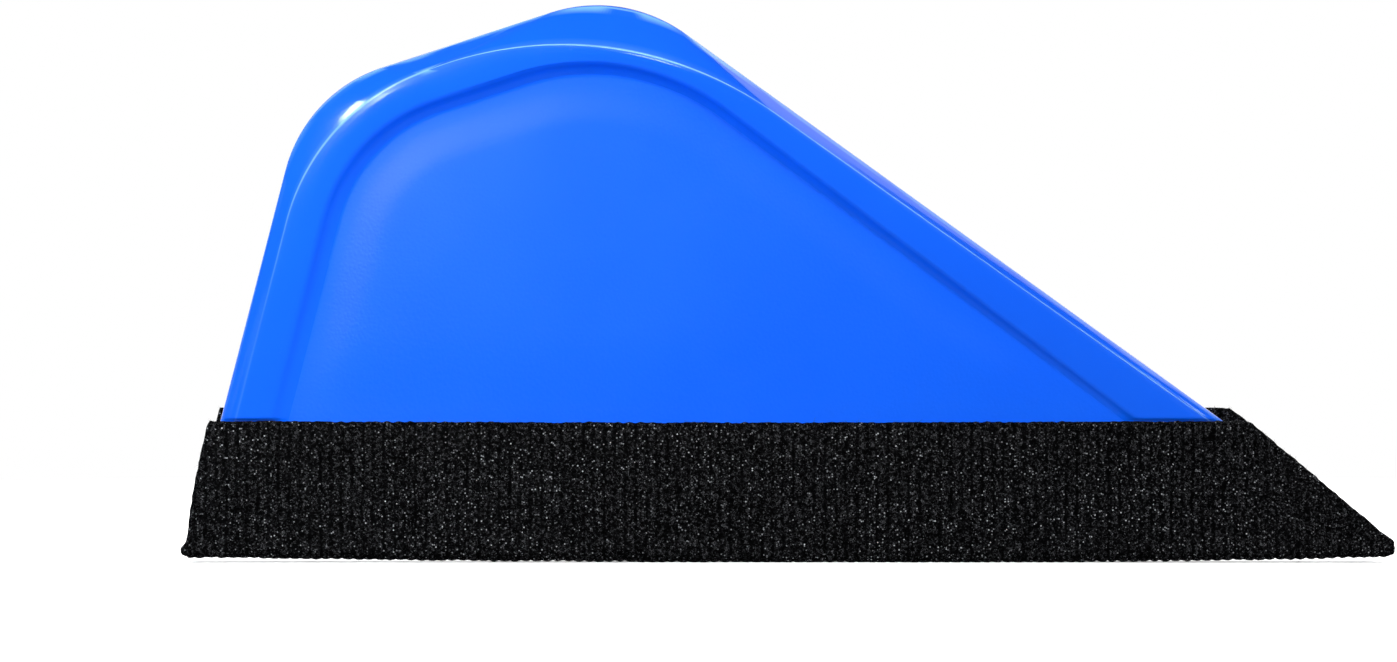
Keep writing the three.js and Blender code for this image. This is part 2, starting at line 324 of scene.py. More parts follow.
class SqueegeeStageSettings(bpy.types.PropertyGroup):
    floor_colour: bpy.props.FloatVectorProperty(
        name="Floor Colour", description="Colour of the pale floor",
        default=(0.93, 0.93, 0.93), **COLOUR
    )
    key_power: bpy.props.FloatProperty(
        name="Key Light",
        description="Power of the soft light at the upper left; the one by the heel has 0.6 of it",
        default=0.162, **POWER
    )
    side_power: bpy.props.FloatProperty(
        name="Side Lights",
        description="Power of the light at the right; the one at the left has a little under half",
        default=2.35, **POWER
    )
    strip_power: bpy.props.FloatProperty(
        name="Strip Light",
        description="Power of the narrow strip that only draws gloss along the grip rim",
        default=1.2, **POWER
    )
    back_power: bpy.props.FloatProperty(
        name="Back Lights", description="Power of each soft light behind the tool",
        default=3.0, **POWER
    )
    floor_power: bpy.props.FloatProperty(
        name="Floor Light", description="Power of the wide light that keeps the floor white",
        default=26.0, **POWER
    )
    room_light: bpy.props.FloatProperty(
        name="Room Light", description="Strength of the even light from all round",
        default=0.125, min=0.0, max=3.0
    )
    camera_distance: bpy.props.FloatProperty(
        name="Camera Distance", description="Distance from the lens to the middle of the tool",
        default=0.7783, min=0.2, max=3.0, **DISTANCE
    )


# ---------------------------------------------------------------- shared makers


SEAM_GAP = 0.002 * MM
LEAST_EDGE = 0.0005 * MM


def made_object(name, vertices, faces):
    """A mesh object from points in metres, with its seams closed and its faces turned outwards."""
    mesh = bpy.data.meshes.new(name)
    mesh.from_pydata([tuple(v) for v in vertices], [], faces)
    work = bmesh.new()
    work.from_mesh(mesh)
    bmesh.ops.remove_doubles(work, verts=work.verts, dist=SEAM_GAP)
    bmesh.ops.dissolve_degenerate(work, edges=work.edges, dist=LEAST_EDGE)
    bmesh.ops.recalc_face_normals(work, faces=work.faces)
    for face in work.faces:
        face.smooth = True
    work.to_mesh(mesh)
    work.free()
    made = bpy.data.objects.new(name, mesh)
    bpy.context.scene.collection.objects.link(made)
    return made


def grid_faces(rows, columns, start=0):
    """Quads of a grid whose points are numbered row by row."""
    return [
        (
            start + r * columns + c,
            start + r * columns + c + 1,
            start + (r + 1) * columns + c + 1,
            start + (r + 1) * columns + c,
        )
        for r in range(rows - 1)
        for c in range(columns - 1)
    ]


def write_marks(made, name, values):
    """Keeps one number for each point of a mesh, which its material reads."""
    layer = made.data.attributes.new(name, "FLOAT", "POINT")
    layer.data.foreach_set("value", values)


def smoothstep(x, low, high):
    t = np.clip((x - low) / (high - low), 0, 1)
    return t * t * (3 - 2 * t)


# ---------------------------------------------------------------- node groups


def new_group(name, inputs, outputs):
    """A shader node group with named sockets, and its input and output nodes."""
    group = bpy.data.node_groups.new(name, "ShaderNodeTree")
    for label, kind, default in inputs:
        socket = group.interface.new_socket(label, in_out="INPUT", socket_type=kind)
        if default is not None:
            socket.default_value = default
    for label, kind in outputs:
        group.interface.new_socket(label, in_out="OUTPUT", socket_type=kind)
    return group, group.nodes.new("NodeGroupInput"), group.nodes.new("NodeGroupOutput")


def add_node(tree, kind, settings=None, **values):
    """A node with its settings and its unlinked input values."""
    node = tree.nodes.new(kind)
    for key, value in (settings or {}).items():
        setattr(node, key, value)
    for key, value in values.items():
        node.inputs[key.replace("_", " ")].default_value = value
    return node


def set_or_link(tree, socket, value):
    """Links an input to another node's output, or gives it a plain number or colour."""
    if isinstance(value, bpy.types.NodeSocket):
        tree.links.new(value, socket)
    else:
        socket.default_value = value


def maths(tree, operation, first, second=None, third=None, clamp=False):
    node = tree.nodes.new("ShaderNodeMath")
    node.operation = operation
    node.use_clamp = clamp
    for socket, value in zip(node.inputs, (first, second, third)):
        if value is not None:
            set_or_link(tree, socket, value)
    return node.outputs[0]


def noise_node(tree, vector, scale, detail=2.0, rough=0.5):
    node = add_node(tree, "ShaderNodeTexNoise", Scale=1.0, Detail=detail, Roughness=rough)
    tree.links.new(vector, node.inputs["Vector"])
    set_or_link(tree, node.inputs["Scale"], scale)
    return node


def spread(tree, value, low, high, to_low=0.0, to_high=1.0, smooth=True):
    node = tree.nodes.new("ShaderNodeMapRange")
    node.interpolation_type = "SMOOTHSTEP" if smooth else "LINEAR"
    for key, number in (
        ("From Min", low),
        ("From Max", high),
        ("To Min", to_low),
        ("To Max", to_high),
    ):
        set_or_link(tree, node.inputs[key], number)
    tree.links.new(value, node.inputs["Value"])
    return node.outputs["Result"]


def colour_mix(tree, factor, first, second):
    node = tree.nodes.new("ShaderNodeMix")
    node.data_type = "RGBA"
    sockets = [s for s in node.inputs if s.type == "RGBA"]
    for socket, value in ((node.inputs[0], factor), (sockets[0], first), (sockets[1], second)):
        set_or_link(tree, socket, value)
    return next(s for s in node.outputs if s.type == "RGBA")


def mottle_group():
    """Slow uneven variation: where a surface is a little darker, rougher or thinner."""
    name = "Soft Mottle"
    if name in bpy.data.node_groups:
        return bpy.data.node_groups[name]
    group, into, out = new_group(
        name,
        [
            ("Vector", "NodeSocketVector", None),
            ("Patches per Metre", "NodeSocketFloat", 60.0),
            ("Low", "NodeSocketFloat", 0.0),
            ("High", "NodeSocketFloat", 1.0),
        ],
        [("Value", "NodeSocketFloat")],
    )
    often, low, high = (into.outputs[key] for key in ("Patches per Metre", "Low", "High"))
    patches = noise_node(group, into.outputs["Vector"], often, 3.0, 0.55)
    value = spread(group, patches.outputs["Fac"], 0.3, 0.7, low, high)
    group.links.new(value, out.inputs["Value"])
    return group


def grain_group():
    """Fine surface grain: its height, and a mask of its highest points."""
    name = "Fine Grain"
    if name in bpy.data.node_groups:
        return bpy.data.node_groups[name]
    group, into, out = new_group(
        name,
        [
            ("Vector", "NodeSocketVector", None),
            ("Grains per Metre", "NodeSocketFloat", 3000.0),
            ("Peak Share", "NodeSocketFloat", 0.3),
        ],
        [("Height", "NodeSocketFloat"), ("Peaks", "NodeSocketFloat")],
    )
    scale = into.outputs["Grains per Metre"]
    coarse = noise_node(group, into.outputs["Vector"], scale, 3.0, 0.6)
    cells = add_node(group, "ShaderNodeTexVoronoi", {"feature": "F1"})
    group.links.new(into.outputs["Vector"], cells.inputs["Vector"])
    group.links.new(maths(group, "MULTIPLY", scale, 0.8), cells.inputs["Scale"])
    pits = spread(group, cells.outputs["Distance"], 0.0, 0.8, 1.0, 0.0)
    half_coarse = maths(group, "MULTIPLY", coarse.outputs["Fac"], 0.5)
    height = maths(group, "MULTIPLY_ADD", pits, 0.5, half_coarse)
    group.links.new(height, out.inputs["Height"])
    lowered = maths(group, "MULTIPLY", into.outputs["Peak Share"], 0.4)
    edge = maths(group, "SUBTRACT", 0.78, lowered)
    over = maths(group, "SUBTRACT", height, edge)
    group.links.new(maths(group, "MULTIPLY", over, 12.0, clamp=True), out.inputs["Peaks"])
    return group


def hairline_group():
    """Short fine scratches from handling and from sliding in and out of a tool pouch."""
    name = "Hairline Scratches"
    if name in bpy.data.node_groups:
        return bpy.data.node_groups[name]
    group, into, out = new_group(
        name,
        [
            ("Vector", "NodeSocketVector", None),
            ("Lines per Metre", "NodeSocketFloat", 900.0),
            ("Amount", "NodeSocketFloat", 0.5),
        ],
        [("Mask", "NodeSocketFloat")],
    )
    masks = []
    often, amount = into.outputs["Lines per Metre"], into.outputs["Amount"]
    for turn, shift in ((0.35, 0.0), (-0.9, 3.7)):
        place = group.nodes.new("ShaderNodeMapping")
        place.inputs["Rotation"].default_value = (0.0, turn, 0.0)
        place.inputs["Location"].default_value = (shift, 0.0, shift)
        place.inputs["Scale"].default_value = (0.06, 1.0, 1.0)
        group.links.new(into.outputs["Vector"], place.inputs["Vector"])
        lines = noise_node(group, place.outputs["Vector"], often, 1.0, 0.4)
        away = maths(group, "ABSOLUTE", maths(group, "SUBTRACT", lines.outputs["Fac"], 0.5))
        masks.append(spread(group, away, 0.0, 0.012, 1.0, 0.0))
    where = noise_node(group, into.outputs["Vector"], 130.0, 2.0)
    patchy = spread(group, where.outputs["Fac"], 0.5, 0.68)
    both = maths(group, "MAXIMUM", masks[0], masks[1])
    mask = maths(group, "MULTIPLY", maths(group, "MULTIPLY", both, patchy), amount)
    group.links.new(mask, out.inputs["Mask"])
    return group


def placed(tree, group, vector, **values):
    """A node group placed in a material with its own values."""
    node = tree.nodes.new("ShaderNodeGroup")
    node.node_tree = group
    tree.links.new(vector, node.inputs["Vector"])
    for key, value in values.items():
        node.inputs[key.replace("_", " ")].default_value = value
    return node


def new_material(name):
    """A material with its Principled shader and object coordinates."""
    material = bpy.data.materials.new(name)
    material.use_nodes = True
    tree = material.node_tree
    shader = tree.nodes["Principled BSDF"]
    places = tree.nodes.new("ShaderNodeTexCoord").outputs["Object"]
    return material, tree, shader, places


def bumped(tree, shader, height, depth):
    """Raises the surface by the height, scaled to a depth in metres."""
    bump = add_node(tree, "ShaderNodeBump", Strength=1.0, Distance=depth)
    tree.links.new(height, bump.inputs["Height"])
    tree.links.new(bump.outputs["Normal"], shader.inputs["Normal"])


def feed(tree, shader, **values):
    """Links values that change over the surface to the shader's own inputs."""
    for key, value in values.items():
        tree.links.new(value, shader.inputs[key.replace("_", " ")])


def tinted(colour, red, green, blue):
    """A colour with its three channels scaled, as an opaque colour."""
    return (*(min(1.0, c * scale) for c, scale in zip(colour, (red, green, blue))), 1.0)


def assign(made, material):
    made.data.materials.clear()
    made.data.materials.append(material)


# ---------------------------------------------------------------- the moulding


def blade_half(z):
    t = np.clip((z - EDGE_HEIGHT) / (TAPER_HEIGHT - EDGE_HEIGHT), 0, 1)
    return EDGE_HALF + (WEB_HALF - EDGE_HALF) * t


def rim_half(z, foot):
    """Half the thickness across the crest at a height, faded out at the rim's foot."""
    climb = (RIM_HALF_TOP - RIM_HALF_LOW) / (HEIGHT - FRONT_FLAP)
    fade = smoothstep(z, foot, foot + FADE_HEIGHT)
    return WEB_HALF + (RIM_HALF_LOW + (z - FRONT_FLAP) * climb - WEB_HALF) * fade


ROUND_STEPS = (0.2, 0.4, 0.6, 0.8, 1.0)
MOST_CUT = 0.45


def rounded_section(corners, cuts, steps, swells):
    """Points across the rim at every station: straight runs joined by rounded corners.

    Each corner is (distance in from the outer edge, half thickness) over the stations, and is cut
    back by its own amount, or by less where its neighbours are close."""
    cuts = [0.0, *cuts, 0.0]
    before, after = [], []
    for k, point in enumerate(corners):
        ends = []
        for other in (k - 1, k + 1):
            if not 0 <= other < len(corners):
                ends.append(point)
                continue
            run = corners[other] - point
            length = np.linalg.norm(run, axis=1, keepdims=True)
            cut = np.minimum(cuts[k], MOST_CUT * length)
            ends.append(point + run / np.maximum(length, 1e-9) * cut)
        before.append(ends[0])
        after.append(ends[1])
    rows = [corners[0]]
    for k in range(1, len(corners)):
        start, end = after[k - 1], before[k]
        for i in range(1, steps[k - 1] + 1):
            t = i / steps[k - 1]
            point = start + (end - start) * t
            point[:, 1] += swells[k - 1] * 4 * t * (1 - t)
            rows.append(point)
        if k + 1 < len(corners):
            for t in ROUND_STEPS:
                a, b = before[k], after[k]
                rows.append(a * (1 - t) ** 2 + corners[k] * 2 * t * (1 - t) + b * t * t)
    return rows


# The rim's section: the parting line's half thickness and root, how much of the wall stands above
# its foot, the swell of the bevel, how far back the corners are rounded that are no setting, and
# the steps of each straight run.
FLASH_HALF = 0.06
FLASH_ROOT = 0.1
WALL_SHARE = 0.4
BEVEL_SWELL = 0.1
FLASH_CUTS = [0.03, 0.03]
INNER_CUTS = [0.7, 0.5, 0.3]
SECTION_STEPS = [1, 1, 2, 6, 7, 3, 3, 3]


def rim_points(foot, settings):
    """The grip rim's front or back half as points (x, z, half thickness), station by station."""
    flash = settings.parting_line / MM
    edges = [traced(e) for e in (OUTER_EDGE, RIDGE, LAND_EDGE, WALL_FOOT, WEB_EDGE, WEB_INNER)]
    steps_in = [np.linalg.norm(b - a, axis=1) for a, b in zip(edges, edges[1:])]
    marks = np.concatenate([[np.zeros(len(edges[0]))], np.cumsum(steps_in, axis=0)])
    crest = rim_half(edges[1][:, 1], foot)
    land = rim_half(edges[2][:, 1], foot)
    zero = np.zeros(len(crest))
    web = zero + WEB_HALF
    corners = [
        np.stack([zero - flash, zero], 1),
        np.stack([zero - flash, zero + FLASH_HALF], 1),
        np.stack([zero, zero + FLASH_ROOT], 1),
        np.stack([zero, np.minimum(web, crest)], 1),
        np.stack([marks[1], crest], 1),
        np.stack([marks[2], land], 1),
        np.stack([marks[3], web + WALL_SHARE * (land - web)], 1),
        np.stack([marks[4], web], 1),
        np.stack([marks[5], web], 1),
    ]
    flange = settings.flange_round / MM
    ridge = settings.crest_round / MM
    swell = settings.land_swell / MM
    raised = smoothstep(edges[1][:, 1], foot, foot + FADE_HEIGHT)
    rows = rounded_section(
        corners,
        [*FLASH_CUTS, flange, ridge, *INNER_CUTS],
        SECTION_STEPS,
        [0, 0, 0, BEVEL_SWELL * raised, swell * raised, 0, 0, 0],
    )
    grid = np.zeros((len(zero), len(rows), 3))
    for j, row in enumerate(rows):
        along = np.clip(row[:, 0], 0, None)
        plan = np.zeros((len(zero), 2))
        for i in range(len(zero)):
            plan[i, 0] = np.interp(along[i], marks[:, i], [e[i, 0] for e in edges])
            plan[i, 1] = np.interp(along[i], marks[:, i], [e[i, 1] for e in edges])
        out = edges[0] - edges[1]
        out /= np.linalg.norm(out, axis=1, keepdims=True)
        plan += out * np.clip(-row[:, :1], 0, None)
        grid[:, j, :2] = plan
        grid[:, j, 2] = row[:, 1]
    return grid


BLADE_CORNER = 1.2


def blade_ends(z):
    """Where the blade starts and stops along X at a height, with its lower corners rounded."""
    radius = BLADE_CORNER
    floor = Line(Vector((0, EDGE_HEIGHT)), Vector((-1, 0)))
    heel = corner(floor, HEEL_LINE, radius).centre
    toe = corner(TOE_LINE, floor, radius).centre
    round_z = heel.y
    heel_turn = heel.y + radius * math.sin(math.radians(HEEL_LEAN))
    toe_turn = toe.y + radius * math.cos(math.radians(TOE_SLOPE))
    side = math.sqrt(max(0.0, radius**2 - (z - round_z) ** 2))
    start = at_height(HEEL_LINE, z).x if z > heel_turn else heel.x - side
    end = at_height(TOE_LINE, z).x if z > toe_turn else toe.x + side
    return start, end


# The web swells over its border and rises from the felt; the blade goes down from the rim's foot
# in even levels, and in closer ones round its edge.
RUNGS = 64
SWELL_BORDER = 5.5
SWELL_RISE = 12
LEVEL_DROP = 0.85
LEVELS = 19
EDGE_LEVELS = (1.5, 1.1, 0.8, 0.55, 0.35, 0.2, 0.1, 0.03, 0.0)
EDGE_ROUND = 0.4


def moulding_half(side, foot, settings):
    """Points and faces of the moulding's front (-1) or back (+1) half, in millimetres."""
    rim = rim_points(foot, settings)
    stations, across, _ = rim.shape
    points = [(p[0], side * p[2], p[1]) for p in rim.reshape(-1, 3)]
    faces = grid_faces(stations, across)

    half_way = stations // 2
    swell = settings.web_swell / MM
    border = rim[:, -1, :2]
    ladder = np.zeros((half_way + 1, RUNGS + 1, 3))
    for k in range(half_way + 1):
        a, b = border[k], border[stations - 1 - k]
        for m in range(RUNGS + 1):
            place = a + (b - a) * (1 - math.cos(math.pi * m / RUNGS)) / 2
            clear = np.linalg.norm(border - place, axis=1).min()
            rise = swell * smoothstep(clear, 0, SWELL_BORDER)
            rise *= smoothstep(place[1], FRONT_FOOT, FRONT_FOOT + SWELL_RISE)
            ladder[k, m] = (*place, WEB_HALF + rise)
    start = len(points)
    points += [(p[0], side * p[2], p[1]) for p in ladder.reshape(-1, 3)]
    faces += grid_faces(half_way + 1, RUNGS + 1, start)

    foot_row = np.concatenate([rim[0], ladder[0, 1:-1], rim[-1, ::-1]])
    levels = [FRONT_FOOT - i * LEVEL_DROP for i in range(1, LEVELS + 1)]
    levels += [EDGE_HEIGHT + height for height in EDGE_LEVELS]
    top_start, top_end = blade_ends(FRONT_FOOT)
    rows = [foot_row]
    for z in levels:
        start_x, end_x = blade_ends(z)
        lean = EDGE_ROUND - min(EDGE_ROUND, z - EDGE_HEIGHT)
        half = blade_half(z) - EDGE_ROUND + math.sqrt(EDGE_ROUND**2 - lean**2)
        row = foot_row.copy()
        row[:across, 0] += start_x - top_start
        row[-across:, 0] += end_x - top_end
        inner = np.linspace(row[across - 1, 0], row[-across, 0], RUNGS + 1)
        row[across:-across, 0] = inner[1:-1]
        row[:, 1] = z
        row[:, 2] *= half / WEB_HALF
        rows.append(row)
    closing = rows[-1].copy()
    closing[:, 2] = 0
    rows.append(closing)
    start = len(points)
    points += [(p[0], side * p[2], p[1]) for row in rows for p in row]
    faces += grid_faces(len(rows), len(foot_row), start)
    return points, faces


TEXTURE_EDGE = inside(LAND_EDGE, 2.25, 1.25)
BELOW_BLADE = (0, 30)


def mark_web(made):
    """Writes where the web's fine texture lies: 1 on the web and blade, 0 on the polished rim."""
    edge = list(traced(TEXTURE_EDGE))
    ring = np.array([*edge, edge[-1] - BELOW_BLADE, edge[0] - BELOW_BLADE])
    nxt = np.roll(ring, -1, axis=0)
    values = []
    for vertex in made.data.vertices:
        x, z = vertex.co.x / MM, vertex.co.z / MM
        crosses = (ring[:, 1] > z) != (nxt[:, 1] > z)
        span = np.where(crosses, nxt[:, 1] - ring[:, 1], 1)
        hits = crosses & (x < (nxt[:, 0] - ring[:, 0]) * (z - ring[:, 1]) / span + ring[:, 0])
        values.append(float(np.count_nonzero(hits) % 2))
    write_marks(made, "web_area", values)


# Painted highlight lines on the grip rim, as (from, to) in millimetres: across the crest's line and
# the line beside the outer edge, and where along the tool or up it the lines grow or fade.
CREST_WIDTH = (0.02, 0.26)
CREST_GROWS = (-72, -58)
CREST_FADES = (25, 60)
EDGE_INSET = 0.32
EDGE_WIDTH = (0.03, 0.2)
EDGE_GROWS = (-62, -40)
EDGE_STRONG = (57, 66)


def mark_painted_highlight(made):
    """Writes where a highlight is painted on the grip rim: along its crest, and just inside its
    outer edge.
    """
    crest, edge = traced(RIDGE), traced(OUTER_EDGE)
    values = []
    for vertex in made.data.vertices:
        x, z = place = np.array((vertex.co.x, vertex.co.z)) / MM
        from_crest = np.linalg.norm(crest - place, axis=1).min()
        on_crest = 1 - smoothstep(from_crest, *CREST_WIDTH)
        on_crest *= 0.12 + 0.88 * smoothstep(x, *CREST_GROWS)
        on_crest *= 1 - 0.5 * smoothstep(x, *CREST_FADES)
        from_edge = np.linalg.norm(edge - place, axis=1).min()
        on_edge = 1 - smoothstep(abs(from_edge - EDGE_INSET), *EDGE_WIDTH)
        on_edge *= 0.2 + 0.2 * smoothstep(x, *EDGE_GROWS) + 0.5 * smoothstep(z, *EDGE_STRONG)
        values.append(float(max(on_crest, on_edge)))
    write_marks(made, "painted_highlight", values)


def moulded_plastic(settings):
    """Blue injection-moulded plastic: polished rim with a painted highlight along its crest and
    outer edge, finely textured web.
    """
    material, tree, shader, places = new_material("Moulded Blue Plastic")
    colour = tuple(settings.plastic_colour)
    web = add_node(tree, "ShaderNodeAttribute", {"attribute_name": "web_area"}).outputs["Fac"]
    mottle = placed(tree, mottle_group(), places, Patches_per_Metre=45.0)
    grain = placed(tree, grain_group(), places, Grains_per_Metre=2600.0, Peak_Share=0.35)
    lines = placed(tree, hairline_group(), places, Lines_per_Metre=2600.0, Amount=0.3)
    deep, pale = tinted(colour, 0.94, 0.97, 0.99), tinted(colour, 1.06, 1.02, 1.0)
    base = colour_mix(tree, mottle.outputs["Value"], deep, pale)
    scuffed = (0.05, 0.2, 0.95, 1)
    base = colour_mix(tree, maths(tree, "MULTIPLY", lines.outputs["Mask"], 0.25), base, scuffed)
    # Painted highlight: pale lines along the crest and inside the outer edge, mixed into the base
    # colour.
    highlight_mask = add_node(tree, "ShaderNodeAttribute", {"attribute_name": "painted_highlight"}).outputs["Fac"]
    pale_highlight = maths(tree, "MULTIPLY", highlight_mask, spread(tree, mottle.outputs["Value"], 0, 1, 0.65, 0.95))
    base = colour_mix(tree, pale_highlight, base, (*settings.highlight_colour, 1))
    rough = spread(tree, web, 0, 1, settings.rim_roughness, settings.web_roughness)
    rough = maths(tree, "MULTIPLY_ADD", mottle.outputs["Value"], 0.04, rough)
    rough = maths(tree, "MULTIPLY_ADD", lines.outputs["Mask"], 0.12, rough)
    polish = spread(tree, web, 0, 1, 0.7, 0.0)
    feed(tree, shader, Base_Color=base, Roughness=rough, Coat_Weight=polish)
    depth = spread(tree, web, 0, 1, 0.15, 1.6)
    height = maths(tree, "MULTIPLY", grain.outputs["Height"], depth)
    height = maths(tree, "MULTIPLY_ADD", lines.outputs["Mask"], -0.4, height)
    bumped(tree, shader, height, 0.012 * MM)
    shader.inputs["Coat Roughness"].default_value = 0.06
    shader.inputs["Specular IOR Level"].default_value = 0.3
    return material


# ---------------------------------------------------------------- the felt


# The felt's end cuts: heights, and the place along X at each.
FRONT_HEEL_CUT = (
    (0, 0.5, 1.3, 2.9, 9.4, 18.4, 18.9),
    (-80.5, -80.9, -81, -80.3, -79.4, -77.5, -77.2),
)
FRONT_TOE_CUT = ((0, 0.7, 1.6, 2.9, 18.5, 18.9), (80.0, 80.8, 81, 80.6, 61.9, 61.2))
BACK_HEEL_CUT = ((0, 0.5, 1.3, 2.9, 20.2, 20.6), (-80.5, -80.9, -81, -80.3, -76.3, -76.1))
BACK_TOE_CUT = ((0, 0.7, 1.6, 2.9, 20.0, 20.6), (80.0, 80.8, 81, 80.6, 60.1, 59.2))

# Its folded foot lies flat at one place along X and lifts towards its two ends.
BOW_FLAT_AT = 17
BOW_TO_HEEL = 97
BOW_TO_TOE = 62
BOW_RISE = 0.7
BOW_FADE = 4.0

# Its section: steps at the cut edge and below it, and in each turn of the fold.
EDGE_DROPS = (0, 0.08, 0.2, 0.4, 0.65)
FLAP_FROM = 1.0
FLAP_ROWS = 37
TURN_ROWS = 9
FLAT_ROWS = 7
INNER_ROUND = 0.1

# Its columns along X: where the slanted ends stop, the even middle, and how the ends crowd.
HEEL_ZONE_END = -74.3
TOE_ZONE_START = 53.95
MIDDLE = (-74.0, 53.9, 0.3)
HEEL_COLUMNS = 22
TOE_COLUMNS = 92
CROWDING = 1.15

# Its thinned edges, the loops scalloping the toe's cut, and the fringe along the flaps' tops.
THIN_WIDTH = 0.42
THIN_SHARE = 0.28
SCALLOP = 0.16
SCALLOP_CUT = 0.1
SCALLOP_PITCH = 1.15
FRINGE = 1.6
LOOP_PITCH = 1.1


def foot_bow(x):
    """How far the felt's folded foot lifts off a flat surface towards its two ends."""
    if x < BOW_FLAT_AT:
        return BOW_RISE * ((BOW_FLAT_AT - x) / BOW_TO_HEEL) ** 2
    return BOW_RISE * ((x - BOW_FLAT_AT) / BOW_TO_TOE) ** 2


def felt_reach(side, z):
    """The felt's heel and toe ends at a height, on the front (-1) or back (+1) flap."""
    heel, toe = (FRONT_HEEL_CUT, FRONT_TOE_CUT) if side < 0 else (BACK_HEEL_CUT, BACK_TOE_CUT)
    return np.interp(z, *heel), np.interp(z, *toe)


def felt_path(thickness):
    """The felt's section from flap to flap: (outer y, outer z, inner y, inner z) of each row, and
    its distance along the strip."""
    off = FELT_LINER + thickness
    foot = blade_half(EDGE_HEIGHT)
    wall_in, floor_in = foot + FELT_LINER, EDGE_HEIGHT - FELT_LINER
    wall_out = foot + off

    def flap(side, top):
        heights = [top - drop for drop in EDGE_DROPS]
        heights += list(np.linspace(top - FLAP_FROM, FOLD_RADIUS, FLAP_ROWS))
        rows = []
        for z in heights:
            y_out, y_in = side * (blade_half(z) + off), side * (blade_half(z) + FELT_LINER)
            rows.append((y_out, z, y_in, max(z, floor_in + INNER_ROUND)))
        return rows

    def turn(side):
        rows = []
        for i in range(1, TURN_ROWS):
            angle = math.pi / 2 * i / TURN_ROWS
            sunk, risen = 1 - math.cos(angle), 1 - math.sin(angle)
            y_out, y_in = wall_out - FOLD_RADIUS * sunk, wall_in - INNER_ROUND * sunk
            z_out, z_in = FOLD_RADIUS * risen, floor_in + INNER_ROUND * risen
            rows.append((side * y_out, z_out, side * y_in, z_in))
        return rows

    flat = wall_out - FOLD_RADIUS
    rows = flap(-1, FRONT_FLAP) + turn(-1)
    for y in np.linspace(-flat, flat, FLAT_ROWS):
        rows.append((y, 0.0, y / flat * (wall_in - INNER_ROUND), floor_in))
    rows += list(reversed(flap(1, BACK_FLAP) + turn(1)))
    path = np.array(rows)
    middle = (path[:, :2] + path[:, 2:]) / 2
    steps = np.linalg.norm(np.diff(middle, axis=0), axis=1)
    return path, np.concatenate([[0], np.cumsum(steps)])


def felt_columns():
    """The strip's columns: a share of the slanted heel or toe, or a place in the even middle."""
    heel = [("heel", share) for share in np.linspace(0, 1, HEEL_COLUMNS)[:-1] ** CROWDING]
    middle = [("middle", x) for x in np.arange(*MIDDLE)]
    toe = [("toe", share) for share in 1 - np.linspace(1, 0, TOE_COLUMNS) ** CROWDING]
    return heel + middle + toe


def rib_rise(x, height, side, pitch):
    """How high the knit stands at a place: 1 on a rib's crown, 0 in the groove beside it."""
    wander = 0.16 * noise.noise(Vector((x * 0.12, height * 0.2, 3.1 + side)))
    return abs(math.cos(math.pi * (x / pitch + wander))) ** 0.7


def knit_relief(x, along, height, side, settings):
    """Relief of the knit in millimetres: ribs square to the working edge, loops, matted fibre."""
    pitch = settings.rib_pitch / MM
    rib = rib_rise(x, height, side, pitch) - 0.6
    clear = 0.65 + 0.35 * float(smoothstep(x + 2.2 * (19 - height), 0, 60))
    row = math.floor(x / pitch + 0.5)
    loop = math.cos(2 * math.pi * (along / LOOP_PITCH + 0.5 * (row % 2)))
    matted = noise.noise(Vector((x * 1.9, along * 1.9, 7.7)))
    lumps = noise.noise(Vector((x * 0.33, along * 0.28, 1.3)))
    at_fold = float(1 - smoothstep(height, 0.4, 2.2))
    ribs = settings.rib_depth / MM * (clear + 0.6 * at_fold) * rib
    return ribs + 0.02 * loop + 0.08 * matted + (0.05 + 0.1 * at_fold) * lumps


def mark_ribs(made, pitch):
    """Writes the ribs onto the felt strip, for its colour to follow: painted shade in the grooves
    and painted highlight on the crowns.
    """
    values = []
    for vertex in made.data.vertices:
        x, y, z = vertex.co / MM
        values.append(rib_rise(x, z, -1 if y < 0 else 1, pitch))
    write_marks(made, "rib_crown", values)


